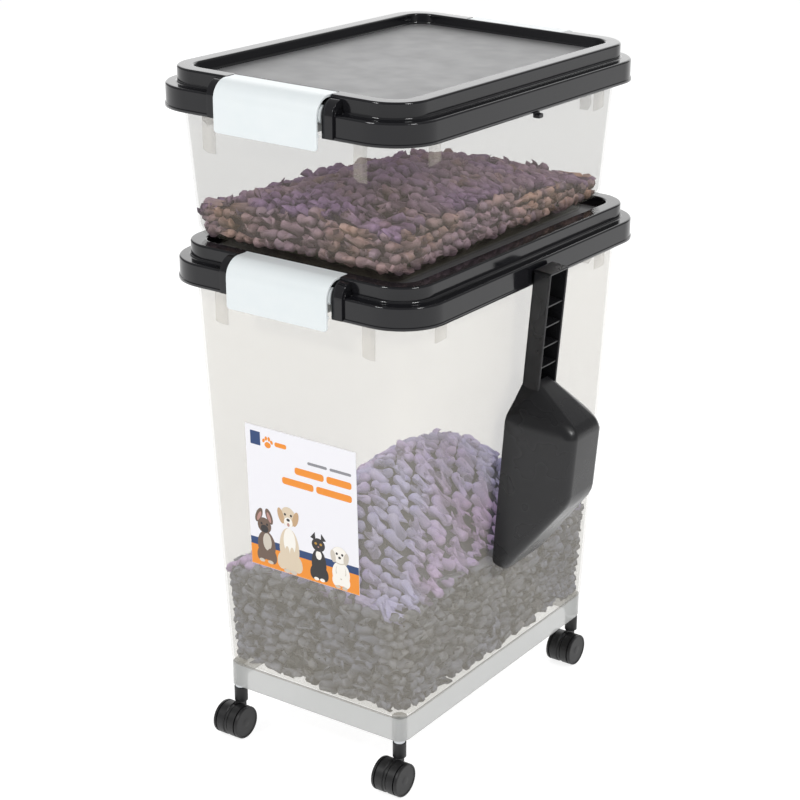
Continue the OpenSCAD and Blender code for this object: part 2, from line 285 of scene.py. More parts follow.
nylon = moulded_nylon("moulded_black_nylon", "#1d1d1e", 0.42)
steel = zinc_plated_steel()
for corner, (side, end) in CASTERS.items():
    caster = "caster_" + corner
    for part, finish in (("stem", steel), ("collar", steel), ("axle", steel), ("hood", nylon)):
        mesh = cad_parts[caster + "_" + part].data
        mesh.materials.clear()
        mesh.materials.append(finish)
    for wheel, facing in (("a", -1), ("b", 1)):
        bm = bmesh.new()
        # From the hub's inner face over the tread and its groove to the dished outer face
        outline = [(1.75, 2.2), (1.75, 15.6), (2.6, 16.5), (10.1, 16.5), (10.4, 15.0), (11.3, 15.0),
                   (11.6, 16.5), (13.3, 16.5), (14.2, 16.1), (14.5, 15.2), (14.5, 14.7),
                   (13.9, 14.3), (13.9, 5.0), (14.2, 4.4), (14.2, 0.0)]
        verts = [bm.verts.new((facing * x, 0, r)) for x, r in outline]
        edges = [bm.edges.new(pair) for pair in zip(verts, verts[1:])]
        bmesh.ops.spin(bm, geom=verts + edges, cent=(0, 0, 0), axis=(1, 0, 0),
                       angle=2 * math.pi, steps=56, use_merge=True)
        bmesh.ops.remove_doubles(bm, verts=bm.verts, dist=0.001)
        bmesh.ops.holes_fill(bm, edges=[e for e in bm.edges if e.is_boundary], sides=0)
        bmesh.ops.recalc_face_normals(bm, faces=bm.faces)
        put(f"{caster}_wheel_{wheel}_tread", bm, nylon, f"{caster}_wheel_{wheel}",
            (MIDDLE + side * 95.5, end * 158 - 10, 16.5),
            [f"{caster}_wheel_{wheel}"], crease=28)


# ---- Dry food in the lower bin -----------------------------------------------------------
# Baked kibble, 10 to 12 mm across, poured into the bin: lumps lie against the walls and over
# a mound in the middle, round a core painted dark as painted shade, which only shows in the gaps between
# them.

def kibble(name, browns, haze, glow, gap):
    """Extruded and baked dry food: a brown crumb, each piece baked a little differently.

    A milky wall spreads light over the food behind it, which the wall's alpha doesn't carry,
    so a faint glow in the crumb's own colour stands for that light.
    """
    material, shader = finish_of(name, {"Roughness": 0.85, "Emission Strength": glow})
    shader.inputs["Specular IOR Level"].default_value = 0.25
    where = add(material, "ShaderNodeTexCoord")
    tone = add(material, "ShaderNodeAttribute", {"attribute_name": "tone"})
    # Painted shade between the lumps: the colour is scaled by the cap attribute, so a lump's outer cap is
    # painted lightest and its inner side and the gaps darker, down to the gap factor
    cap = add(material, "ShaderNodeAttribute", {"attribute_name": "cap"})
    depth = add(material, "ShaderNodeMapRange",
                values={"From Min": -0.35, "From Max": 0.75, "To Min": gap, "To Max": 1.15},
                links={"Value": cap.outputs["Fac"]})
    baked = add(material, "ShaderNodeValToRGB", links={"Fac": tone.outputs["Fac"]})
    ramp = baked.color_ramp.elements
    ramp[0].color, ramp[1].color = srgb(browns[0]), srgb(browns[-1])
    for i, brown in enumerate(browns[1:-1]):
        ramp.new((i + 1) / (len(browns) - 1)).color = srgb(brown)
    # Broad patches, some 90 mm across, where more of the haze colour is mixed into the crumb: painted
    # haze, the light that the milky wall scatters over the food behind it
    patch = add(material, "ShaderNodeTexNoise", values={"Scale": 11, "Detail": 1},
                links={"Vector": where.outputs["Object"]})
    amount = add(material, "ShaderNodeMapRange",
                 values={"From Min": 0.42, "From Max": 0.62, "To Min": 0.1, "To Max": 0.75},
                 links={"Value": patch.outputs["Fac"]})
    tinted = add(material, "ShaderNodeMix", {"data_type": "RGBA"},
                 links={0: amount.outputs["Result"], 6: baked.outputs["Color"]})
    tinted.inputs[7].default_value = srgb(haze)
    # The crumb's pores, about 1.5 mm
    crumb = add(material, "ShaderNodeTexNoise", values={"Scale": 650, "Detail": 3},
                links={"Vector": where.outputs["Object"]})
    speck = add(material, "ShaderNodeMapRange", values={"To Min": 0.84, "To Max": 1.14},
                links={"Value": crumb.outputs["Fac"]})
    shaded = add(material, "ShaderNodeMath", {"operation": "MULTIPLY"},
                 links={0: speck.outputs["Result"], 1: depth.outputs["Result"]})
    colour = add(material, "ShaderNodeVectorMath", {"operation": "SCALE"},
                 links={0: tinted.outputs[2], "Scale": shaded.outputs["Value"]})
    material.node_tree.links.new(colour.outputs[0], shader.inputs["Base Color"])
    material.node_tree.links.new(colour.outputs[0], shader.inputs["Emission Color"])
    relief = add(material, "ShaderNodeBump", values={"Strength": 0.35, "Distance": 0.0004},
                 links={"Height": crumb.outputs["Fac"]})
    material.node_tree.links.new(relief.outputs["Normal"], shader.inputs["Normal"])
    return material


def wall_spots(rng, half, corner, level, bottom, pitch, spread):
    """Places against the walls, row by row from the bottom up to the food's level there."""
    spots, z, row = [], bottom, 0
    while z < level(half[0], 0) + 15:
        reach_x, reach_y = half[0] + spread(z), half[1] + spread(z)
        length = 4 * (reach_x + reach_y)
        count = int(length / pitch)
        for i in range(count):
            s = (i + 0.5 * (row % 2)) / count * length
            for run, (x, y), (dx, dy) in ((2 * reach_x, (-1, -1), (1, 0)), (2 * reach_y, (1, -1), (0, 1)),
                                          (2 * reach_x, (1, 1), (-1, 0)), (2 * reach_y, (-1, 1), (0, -1))):
                if s < run:
                    break
                s -= run
            p = Vector((x * reach_x + dx * s, y * reach_y + dy * s, 0))
            core = Vector((max(-reach_x + corner, min(reach_x - corner, p.x)),
                           max(-reach_y + corner, min(reach_y - corner, p.y)), 0))
            p = core + (p - core).normalized() * (corner - rng.uniform(0, 2.4))
            p.z = z + rng.uniform(-1.8, 1.8)
            if p.z < level(p.x, p.y) + 2:
                spots.append((p, (p - core).normalized()))
        z += pitch * 0.84
        row += 1
    return spots


def heap_spots(rng, half, level, pitch):
    """Places over the top of the heap, in staggered rows."""
    spots, row, y = [], 0, -half[1]
    while y <= half[1]:
        x = -half[0] + pitch / 2 * (row % 2)
        while x <= half[0]:
            p = Vector((x + rng.uniform(-2.4, 2.4), y + rng.uniform(-2.4, 2.4), 0))
            p.z = level(p.x, p.y) + rng.uniform(-2.5, 1.0) + (6 if rng.random() < 0.06 else 0)
            spots.append((p, Vector((0, 0, 1))))
            x += pitch
        y += pitch * 0.88
        row += 1
    return spots


def pour(name, spots, rng, finish, body, place):
    """One rounded crumb, copied to every spot, each turned, sized and baked differently."""
    bm = bmesh.new()
    tone = bm.verts.layers.float.new("tone")
    cap = bm.verts.layers.float.new("cap")
    bmesh.ops.create_cube(bm, size=1)
    bmesh.ops.bevel(bm, geom=bm.edges[:], offset=0.32, segments=1, profile=0.5,
                    affect="EDGES", material=-1)
    corners = len(bm.verts)
    while len(bm.verts) < corners * len(spots):
        bmesh.ops.duplicate(bm, geom=bm.verts[:] + bm.edges[:] + bm.faces[:])
    bm.verts.ensure_lookup_table()
    for i, (spot, out) in enumerate(spots):
        turn = Euler([rng.uniform(0, 6.28) for _ in range(3)]).to_matrix().to_4x4()
        size = [rng.uniform(9.2, 12.2) for _ in range(2)] + [rng.uniform(9.0, 11.0)]
        lump = Matrix.Translation(spot) @ turn @ Matrix.Diagonal((*size, 1))
        shade = rng.random()
        for v in bm.verts[i * corners:(i + 1) * corners]:
            v.co = lump @ v.co
            v[tone] = shade
            # How far out on the lump the corner lies, for the painted shade between the lumps
            v[cap] = (v.co - spot).dot(out) / 5.5
    bmesh.ops.delete(bm, geom=bm.verts[len(spots) * corners:], context="VERTS")
    put(name, bm, finish, body, place, crease=180)


def heap_core(name, half, corner, level, bottom, finish, body, place):
    """The inside of the heap, a few millimetres under the lumps, painted at the darkest gap factor:
    painted shade between the lumps.
    """
    bm = bmesh.new()
    bmesh.ops.create_grid(bm, x_segments=24, y_segments=36, size=1)
    bmesh.ops.scale(bm, vec=(half[0], half[1], 1), verts=bm.verts)
    for v in bm.verts:
        core = Vector((max(-half[0] + corner, min(half[0] - corner, v.co.x)),
                       max(-half[1] + corner, min(half[1] - corner, v.co.y)), 0))
        out = v.co - core
        if out.length > corner:
            v.co = core + out.normalized() * corner
        v.co.z = level(v.co.x, v.co.y) - 6
    edge = [e for e in bm.edges if e.is_boundary]
    drawn = bmesh.ops.extrude_edge_only(bm, edges=edge)["geom"]
    for v in (g for g in drawn if isinstance(g, bmesh.types.BMVert)):
        v.co.z = bottom
    bmesh.ops.holes_fill(bm, edges=[e for e in bm.edges if e.is_boundary], sides=0)
    bmesh.ops.recalc_face_normals(bm, faces=bm.faces)
    # Painted shade: the whole core takes the darkest gap colour
    cap = bm.verts.layers.float.new("cap")
    for v in bm.verts:
        v[cap] = -1.0
    put(name, bm, finish, body, place)


def deep_level(x, y):
    """Height of the food over the floor of the world: level at the walls, a mound inside."""
    mound = max(0, 1 - abs(x / 108) ** 1.35) * max(0, 1 - abs(y / 172) ** 2.2)
    return 179 + 98 * mound


deep_food = kibble("baked_kibble_deep_bin", ["#75767f", "#84858a", "#7b7d85", "#8d8c8d"],
                   "#7f8395", 0.12, 0.5)
# The lumps on the mound: a lighter, violet copy of the same food with more glow, painted haze for the
# light that the milky wall scatters over the food further behind it
mound_food = kibble("baked_kibble_deep_mound_painted_haze", ["#9292ad", "#9c9bb8", "#9796b4", "#a3a0b8"],
                    "#a78cae", 0.5, 0.55)
rng = random.Random(11)
spots = wall_spots(rng, (99.5, 161.5), 17, deep_level, 86, 11, lambda z: (z - 80) * 0.0358)
pour("lower_food_at_walls", spots, rng, deep_food, "lower_bin", (MIDDLE, 0, 0))
spots = heap_spots(rng, (99, 160), deep_level, 11)
pour("lower_food_on_top", spots, rng, mound_food, "lower_bin", (MIDDLE, 0, 0))
heap_core("lower_food_inside", (94, 156), 14, deep_level, 82.5, deep_food, "lower_bin",
          (MIDDLE, 0, 0))


# ---- Front label -------------------------------------------------------------------------
# A white polypropylene film label on the front wall, printed with a generic design: plain
# bars, a paw, a navy and an orange band and four seated animals, each ink a film on the last.

def printed_film(name, colour, gloss=0.3):
    """Gloss ink on PP film: flat colour with the film's faint orange peel."""
    material, shader = finish_of(name, {"Base Color": srgb(colour), "Roughness": gloss})
    where = add(material, "ShaderNodeTexCoord")
    # Orange peel of about 2 mm
    peel = add(material, "ShaderNodeTexNoise", values={"Scale": 500, "Detail": 1},
               links={"Vector": where.outputs["Object"]})
    relief = add(material, "ShaderNodeBump", values={"Strength": 0.05, "Distance": 0.0002},
                 links={"Height": peel.outputs["Fac"]})
    material.node_tree.links.new(relief.outputs["Normal"], shader.inputs["Normal"])
    return material


INKS = {"white": "#f0eff4", "orange": "#f0901c", "navy": "#123b70", "grey": "#8b8b90",
        "brown": "#6b5547", "dark": "#231f20", "cream": "#dccbb2", "tan": "#c5a37d",
        "pale": "#f6f2ea", "shade": "#cfc6b8", "pink": "#b98c83", "amber": "#b98a2e"}
inks = [printed_film("label_film_" + ink, colour) for ink, colour in INKS.items()]
ink_number = {ink: i for i, ink in enumerate(INKS)}
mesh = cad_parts["front_label"].data
mesh.materials.clear()
mesh.materials.append(inks[0])

# Animals, from the left: (ink, x, z, half width, half height, turn in degrees, sides)
SMALL_DOG = [("brown", -44, -49, 10.5, 15, 0, 28), ("shade", -43, -45, 5, 9, 0, 24),
             ("brown", -50, -59, 5.5, 8, 12, 24), ("brown", -38, -59, 5.5, 8, -12, 24),
             ("brown", -51.5, -19, 3.6, 8.2, 24, 20), ("brown", -39.5, -18, 3.6, 8.2, -20, 20),
             ("pink", -51.2, -20, 1.8, 5.4, 24, 16), ("pink", -39.7, -19, 1.8, 5.4, -20, 16),
             ("brown", -45.5, -28.5, 8, 8, 0, 28), ("dark", -45.5, -32, 4.6, 4, 0, 20),
             ("dark", -48.8, -27, 1.3, 1.4, 0, 12), ("dark", -42.2, -27, 1.3, 1.4, 0, 12),
             ("shade", -50, -65.5, 3.4, 1.8, 0, 14), ("shade", -40, -65.5, 3.4, 1.8, 0, 14)]
TALL_DOG = [("cream", -17, -46, 11.5, 22, 0, 32), ("pale", -16.5, -38, 7, 14, 0, 28),
            ("cream", -25, -59, 6.5, 9.5, 14, 24), ("cream", -9, -59, 6.5, 9.5, -14, 24),
            ("cream", -20, -56, 3.4, 13, 2, 20), ("cream", -13.5, -56, 3.4, 13, -2, 20),
            ("cream", -17, -12.5, 9, 10, 0, 28), ("tan", -25.5, -13, 3.3, 8, -16, 20),
            ("tan", -8.5, -13, 3.3, 8, 16, 20), ("pale", -17, -18, 5, 5, 0, 22),
            ("dark", -17, -15.6, 2, 1.5, 0, 14), ("dark", -20.5, -10.5, 1.3, 1.3, 0, 12),
            ("dark", -13.5, -10.5, 1.3, 1.3, 0, 12), ("pink", -17, -20.5, 1.6, 1.9, 0, 12),
            ("shade", -20.5, -69, 4, 1.9, 0, 14), ("shade", -13, -69, 4, 1.9, 0, 14)]
CAT = [("dark", 17, -52, 8.5, 16, 0, 28), ("dark", 11.5, -61, 5, 7.5, 10, 22),
       ("dark", 22.5, -61, 5, 7.5, -10, 22), ("pale", 17, -42.5, 3.4, 4.6, 0, 18),
       ("dark", 17, -32, 7.6, 6.8, 0, 26), ("dark", 11.8, -24.5, 3.6, 5.2, 18, 3),
       ("dark", 22.2, -24.5, 3.6, 5.2, -18, 3), ("amber", 14.1, -31, 1.5, 1.3, 0, 12),
       ("amber", 19.9, -31, 1.5, 1.3, 0, 12), ("pink", 17, -34, 1, 0.7, 0, 8),
       ("pale", 13.6, -67.5, 2.9, 1.7, 0, 14), ("pale", 20.4, -67.5, 2.9, 1.7, 0, 14)]
WHITE_DOG = [("pale", 42, -55, 10, 12.5, 0, 28), ("shade", 42, -53, 6, 8, 0, 24),
             ("pale", 42, -52, 5.2, 7.6, 0, 24), ("pale", 36.5, -62, 4.6, 6.5, 8, 20),
             ("pale", 47.5, -62, 4.6, 6.5, -8, 20), ("shade", 41, -36.5, 9.4, 9, 0, 28),
             ("pale", 41, -36, 8.7, 8.4, 0, 28), ("shade", 33.6, -38.5, 2.9, 6.4, -10, 18),
             ("shade", 48.4, -38.5, 2.9, 6.4, 10, 18), ("dark", 37.9, -35, 1.3, 1.3, 0, 12),
             ("dark", 44.1, -35, 1.3, 1.3, 0, 12), ("dark", 41, -38.6, 1.6, 1.3, 0, 12),
             ("shade", 38, -69, 3.2, 1.6, 0, 12), ("shade", 46, -69, 3.2, 1.6, 0, 12)]
PAW = [("orange", -37, 55, 3.6, 3.0, 0, 20), ("orange", -41.6, 58.6, 1.5, 2.1, 25, 14),
       ("orange", -38.7, 61.2, 1.5, 2.2, 8, 14), ("orange", -35.3, 61.2, 1.5, 2.2, -8, 14),
       ("orange", -32.4, 58.6, 1.5, 2.1, -25, 14)]
# Bars and bands: (ink, left, right, bottom, top, corner)
BARS = [("navy", -62.4, 62.4, -50.6, -43, 0.1), ("orange", -62.4, 62.4, -71.3, -50.6, 0.1),
        ("navy", -57, -45.5, 52.5, 66, 0.6), ("orange", -29, -15.5, 55.5, 60, 1.8),
        ("grey", 8, 30, 46.5, 49.3, 1.3), ("grey", 33, 57, 46.5, 49.3, 1.3),
        ("orange", -7, 26, 33.5, 40.5, 2.6), ("orange", 29, 57, 33.5, 40.5, 2.6),
        ("orange", -22, 14, 20.5, 27.5, 2.6), ("orange", 17, 57, 20.5, 27.5, 2.6)]

bm = bmesh.new()
LABEL_FRONT = 0.42
for ink, left, right, bottom, top, corner in BARS:
    before = set(bm.faces)
    place = Matrix.Translation(((left + right) / 2, -LABEL_FRONT, (bottom + top) / 2)) \
        @ Matrix.Rotation(math.pi / 2, 4, "X") @ Matrix.Diagonal((right - left, top - bottom, 1, 1))
    verts = bmesh.ops.create_grid(bm, x_segments=1, y_segments=1, size=0.5, matrix=place)["verts"]
    bmesh.ops.bevel(bm, geom=verts, offset=corner, segments=5, profile=0.5,
                    affect="VERTICES", material=-1)
    for face in set(bm.faces) - before:
        face.material_index = ink_number[ink]
for animal in (PAW, SMALL_DOG, TALL_DOG, CAT, WHITE_DOG):
    for layer, (ink, x, z, half_x, half_z, turn, sides) in enumerate(animal):
        place = Matrix.Translation((x, -LABEL_FRONT - 0.01 * (layer + 1), z)) \
            @ Matrix.Rotation(math.radians(turn), 4, "Y") \
            @ Matrix.Rotation(math.pi / 2, 4, "X") \
            @ Matrix.Diagonal((half_x, half_z, 1, 1))
        before = set(bm.faces)
        bmesh.ops.create_circle(bm, cap_ends=True, segments=sides, radius=1, matrix=place)
        for face in set(bm.faces) - before:
            face.material_index = ink_number[ink]
bmesh.ops.rotate(bm, cent=(0, 0, 0), matrix=Matrix.Rotation(math.radians(2.05), 3, "X"),
                 verts=bm.verts)
put("front_label_print", bm, inks, "lower_bin", (MIDDLE, -176.99, 271))


# ---- Lower lid ---------------------------------------------------------------------------
# Black polypropylene, injection moulded and polished: a skirt with a flared lip, a ledge, a
# raised ring round the stacking recess, a gap for the latch at each end with an ear on each
# side of it, and a tab with the nose that the scoop hangs on.

def polished_polypropylene(name, colour, gloss):
    """Black PP from a polished mould: glossy, with the slow waviness of a big flat moulding."""
    material, shader = finish_of(name, {"Base Color": srgb(colour), "Roughness": gloss,
                                        "IOR": 1.49})
    shader.inputs["Specular IOR Level"].default_value = 0.42
    where = add(material, "ShaderNodeTexCoord")
    # Waviness some 20 mm long and a mould grain of 0.5 mm, drawn at 1.5 mm
    slow = add(material, "ShaderNodeTexNoise", values={"Scale": 50, "Detail": 1},
               links={"Vector": where.outputs["Object"]})
    grain = add(material, "ShaderNodeTexNoise", values={"Scale": 660, "Detail": 2},
                links={"Vector": where.outputs["Object"]})
    both = add(material, "ShaderNodeMath", {"operation": "MULTIPLY_ADD"}, {1: 0.12},
               {0: grain.outputs["Fac"], 2: slow.outputs["Fac"]})
    relief = add(material, "ShaderNodeBump", values={"Strength": 0.1, "Distance": 0.0006},
                 links={"Height": both.outputs["Value"]})
    material.node_tree.links.new(relief.outputs["Normal"], shader.inputs["Normal"])
    # Handling marks: slightly duller patches
    dull = add(material, "ShaderNodeMapRange",
               values={"From Min": 0.3, "From Max": 0.7, "To Min": gloss - 0.02, "To Max": gloss + 0.05},
               links={"Value": slow.outputs["Fac"]})
    material.node_tree.links.new(dull.outputs["Result"], shader.inputs["Roughness"])
    return material


black_pp = polished_polypropylene("polished_black_polypropylene", "#17171a", 0.09)
# The recess panel: a grey copy of the black plastic with doubled specular, a painted sheen standing for
# the bright reflection of the softbox at a grazing view
panel_pp = polished_polypropylene("satin_black_polypropylene_panel_painted_sheen", "#6e6e6f", 0.42)
panel_pp.node_tree.nodes["Principled BSDF"].inputs["Specular IOR Level"].default_value = 1.0
foam, shader = finish_of("closed_cell_foam", {"Base Color": srgb("#4a4a4c"), "Roughness": 0.9})
where = add(foam, "ShaderNodeTexCoord")
# Cells about 1 mm across
cells = add(foam, "ShaderNodeTexVoronoi", values={"Scale": 900}, links={"Vector": where.outputs["Object"]})
relief = add(foam, "ShaderNodeBump", values={"Strength": 0.5, "Distance": 0.0004},
             links={"Height": cells.outputs["Distance"]})
foam.node_tree.links.new(relief.outputs["Normal"], shader.inputs["Normal"])


def ear(bm, side, end):
    """A cheek beside the latch, 2.5 mm proud of the skirt, its top one big quarter round."""
    place = Matrix.Translation((side * 61, end * 196, 16.4)) @ Matrix.Diagonal((11, 15, 32.2, 1))
    verts = bmesh.ops.create_cube(bm, size=1, matrix=place)["verts"]
    crown = [e for e in set(e for v in verts for e in v.link_edges)
             if all(abs(v.co.y) > 203 and v.co.z > 32 for v in e.verts)]
    rest = set(verts)
    made = bmesh.ops.bevel(bm, geom=crown, offset=14.6, segments=12, profile=0.5, affect="EDGES",
                           material=-1)["verts"]
    bm.normal_update()
    edges = {e for v in list(made) + [v for v in rest if v.is_valid] for e in v.link_edges
             if len(e.link_faces) == 2 and e.calc_face_angle() > 0.5}
    bmesh.ops.bevel(bm, geom=list(edges), offset=0.7, segments=3, profile=0.5, affect="EDGES",
                    material=-1, clamp_overlap=True)


def lid(name, body, node, place):
    bm, face = flat(139.9, 201.9, 45.4, 0, 14)
    ledge = step_in(bm, rise(bm, step_in(bm, rise(bm, face, 2.5), 0.9), 18), 10.5)
    rise(bm, step_in(bm, rise(bm, ledge, 14.5), 15), -10)
    round_edges(bm, 0.4, 2, -1, 3)
    round_edges(bm, 2.0, 5, 3, 50)
    for x in (-55.5, -54.9, 54.9, 55.5):
        bmesh.ops.bisect_plane(bm, geom=bm.verts[:] + bm.edges[:] + bm.faces[:],
                               plane_co=(x, 0, 0), plane_no=(1, 0, 0))
    for y in (-178.5, -178.1, 178.1, 178.5):
        bmesh.ops.bisect_plane(bm, geom=bm.verts[:] + bm.edges[:] + bm.faces[:],
                               plane_co=(0, y, 0), plane_no=(0, 1, 0))
    gap = [f for f in bm.faces if abs(f.calc_center_median().x) < 55.4
           and abs(f.calc_center_median().y) > 190.6]
    bmesh.ops.delete(bm, geom=gap, context="FACES")
    edge = [e for e in bm.edges if e.is_boundary
            and all(abs(v.co.x) < 55.6 and 190 < abs(v.co.y) < 191 and v.co.z > 20 for v in e.verts)]
    drawn = bmesh.ops.extrude_edge_only(bm, edges=edge)["geom"]
    for v in (g for g in drawn if isinstance(g, bmesh.types.BMVert)):
        v.co.z = 13
    for v in bm.verts:
        if abs(v.co.x) < 55 and 190 < abs(v.co.y) < 191 and v.co.z < 24:
            v.co.y -= math.copysign(1.7, v.co.y)
        if abs(v.co.x) < 55 and abs(v.co.y) > 178.3 and v.co.z > 32:
            v.co.z = 32
    bm.normal_update()
    # The recess floor takes the panel finish with its painted sheen
    for f in bm.faces:
        if f.normal.z > 0.99 and 24 < f.calc_center_median().z < 25.4:
            f.material_index = 1
    put(name, bm, [black_pp, panel_pp], body, place, [node], wall=2.4)

    bm = bmesh.new()
    for side in (-1, 1):
        for end in (-1, 1):
            ear(bm, side, end)
            place_boss = Matrix.Translation((side * 66.9, end * 194.5, 19.5)) \
                @ Matrix.Rotation(side * math.pi / 2, 4, "Y")
            boss = bmesh.ops.create_cone(bm, cap_ends=True, segments=32, radius1=6.3,
                                         radius2=6.0, depth=1.2, matrix=place_boss)["verts"]
            cap = [f for f in bm.faces if len(f.verts) == 32 and all(v in boss for v in f.verts)
                   and abs(f.calc_center_median().x) > 67]
            bmesh.ops.inset_region(bm, faces=cap, thickness=2.2, use_even_offset=True)
            bmesh.ops.translate(bm, vec=(-side * 0.9, 0, 0), verts=cap[0].verts)
    put(name + "_ears", bm, black_pp, body, place)

    bm = bmesh.new()
    block(bm, (136, -3.5, -5.5), (139.4, 3.5, 2), 0.7)
    block(bm, (138, -3.5, -5.5), (143, 3.5, -1.5), 0.7)
    put(name + "_hook", bm, black_pp, body, place)


lid("lower_lid_shell", "lower_lid", "lower_lid", (MIDDLE, 0, LOWER_Z))
for seal in ("lower_seal", "upper_seal"):
    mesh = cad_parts[seal].data
    mesh.materials.clear()
    mesh.materials.append(foam)


# ---- Latches -----------------------------------------------------------------------------
# Opaque white polypropylene, moulded: a flap that lies flush in the ring and turns on two pins
# at its back edge, a broad round shoulder, and a plate over the skirt with a barb behind it.

def white_polypropylene():
    """White PP: a bright satin moulding, a little cooler in the hollows of its texture."""
    material, shader = finish_of("moulded_white_polypropylene", {"Roughness": 0.3, "IOR": 1.49})
    where = add(material, "ShaderNodeTexCoord")
    # Flow marks about 15 mm across
    flow = add(material, "ShaderNodeTexNoise", values={"Scale": 65, "Detail": 2},
               links={"Vector": where.outputs["Object"]})
    colour = add(material, "ShaderNodeMix", {"data_type": "RGBA"}, links={0: flow.outputs["Fac"]})
    colour.inputs[6].default_value = srgb("#e6ebec")
    colour.inputs[7].default_value = srgb("#e0e7e9")
    material.node_tree.links.new(colour.outputs[2], shader.inputs["Base Color"])
    relief = add(material, "ShaderNodeBump", values={"Strength": 0.12, "Distance": 0.0004},
                 links={"Height": flow.outputs["Fac"]})
    material.node_tree.links.new(relief.outputs["Normal"], shader.inputs["Normal"])
    return material


white_pp = white_polypropylene()
SHOULDER = (0, 192.3, 17.7)         # centre of the plate's round shoulder
HINGE_Y, HINGE_Z = 179.8, 33.6      # line of the pins


def latch(name, node, end, place):
    bm = bmesh.new()
    verts = [bm.verts.new((x, 209.5, -10)) for x in (-54.5, 54.5)]
    edge = bm.edges.new(verts)
    drawn = bmesh.ops.extrude_edge_only(bm, edges=[edge])["geom"]
    verts = [g for g in drawn if isinstance(g, bmesh.types.BMVert)]
    edges = [g for g in drawn if isinstance(g, bmesh.types.BMEdge)]
    bmesh.ops.translate(bm, vec=(0, 0, 27.7), verts=verts)
    round_top = bmesh.ops.spin(bm, geom=verts + edges, cent=SHOULDER, axis=(1, 0, 0),
                               angle=math.radians(90), steps=14)["geom_last"]
    edges = [g for g in round_top if isinstance(g, bmesh.types.BMEdge)]
    drawn = bmesh.ops.extrude_edge_only(bm, edges=edges)["geom"]
    verts = [g for g in drawn if isinstance(g, bmesh.types.BMVert)]
    bmesh.ops.translate(bm, vec=(0, -12.5, 0), verts=verts)
    bmesh.ops.bevel(bm, geom=[v for v in bm.verts if v.co.z < -9], offset=3, segments=5,
                    profile=0.5, affect="VERTICES", material=-1)
    for f in bm.faces:
        f.normal_update()
    if bm.faces[:][0].normal.y < 0:
        bmesh.ops.reverse_faces(bm, faces=bm.faces[:])
    turn = Matrix.Rotation(math.pi if end < 0 else 0, 3, "Z")
    bmesh.ops.rotate(bm, cent=(0, 0, 0), matrix=turn, verts=bm.verts)
    piece = put(name, bm, white_pp, node, place, [node], wall=2.5)
    soften = piece.modifiers.new("soft edges", "BEVEL")
    soften.width, soften.segments, soften.limit_method = 0.0006, 3, "ANGLE"
    piece.modifiers.move(2, 1)

    bm = bmesh.new()
    for side in (-1, 1):
        across = Matrix.Rotation(math.pi / 2, 4, "Y")
        bmesh.ops.create_cone(bm, cap_ends=True, segments=32, radius1=7.6, radius2=7.6, depth=3,
                              matrix=Matrix.Translation((side * 52.9, 198.8, 19.5)) @ across)
        bmesh.ops.create_cone(bm, cap_ends=True, segments=16, radius1=1.1, radius2=1.1, depth=7,
                              matrix=Matrix.Translation((side * 57, HINGE_Y, HINGE_Z)) @ across)
    bmesh.ops.create_cone(bm, cap_ends=True, segments=24, radius1=1.4, radius2=1.4, depth=109,
                          matrix=Matrix.Translation((0, HINGE_Y, HINGE_Z)) @ across)
    block(bm, (-54.4, 205.2, 1), (54.4, 208, 3.6), 0.5)
    bmesh.ops.rotate(bm, cent=(0, 0, 0), matrix=turn, verts=bm.verts)
    put(name + "_inside", bm, white_pp, node, place)


latch("lower_front_latch_plate", "lower_front_latch", -1, (MIDDLE, 0, LOWER_Z))
latch("lower_back_latch_plate", "lower_back_latch", 1, (MIDDLE, 0, LOWER_Z))


# ---- Scoop -------------------------------------------------------------------------------
# One black polypropylene moulding: a channel handle with cross ribs, and a deep bowl whose
# mouth faces the bin. It hangs from a slot in its handle on the lid's nose.

satin_pp = polished_polypropylene("satin_black_polypropylene", "#1c1c1e", 0.27)
SCOOP_LEAN = Matrix.Rotation(math.radians(4.6), 3, "Y")
SCOOP_PLACE = (MIDDLE + 141.6, 0, 486.2)

bm = bmesh.new()
corners = [(d, w, -u) for w in (-1, 1) for d, w, u in (
    (0, w * 16, 113), (18, w * 16, 113), (0, w * 41.5, 139), (0, w * 38.5, 296), (9, w * 37.5, 303),
    (67, w * 27, 141), (67, w * 27, 214))]
for corner in corners:
    bm.verts.new(corner)
bmesh.ops.convex_hull(bm, input=bm.verts[:])
bmesh.ops.dissolve_limit(bm, angle_limit=math.radians(2), verts=bm.verts[:], edges=bm.edges[:])
bmesh.ops.recalc_face_normals(bm, faces=bm.faces)
mouth = [f for f in bm.faces if f.normal.x < -0.99 or f.calc_center_median().z > -113.5]
bmesh.ops.delete(bm, geom=mouth, context="FACES")
inner = [e for e in bm.edges if not e.is_boundary]
bmesh.ops.bevel(bm, geom=inner, offset=8.5, segments=6, profile=0.5, affect="EDGES", material=-1)
bmesh.ops.bisect_plane(bm, geom=bm.verts[:] + bm.edges[:] + bm.faces[:], plane_co=(0, 0, 0),
                       plane_no=(1, 0, 0), clear_inner=True)
bmesh.ops.rotate(bm, cent=(0, 0, 0), matrix=SCOOP_LEAN, verts=bm.verts)
piece = put("scoop_bowl", bm, satin_pp, "scoop", SCOOP_PLACE, ["scoop"], wall=2.3)
soften = piece.modifiers.new("soft edges", "BEVEL")
soften.width, soften.segments, soften.limit_method = 0.0007, 2, "ANGLE"
piece.modifiers.move(2, 1)

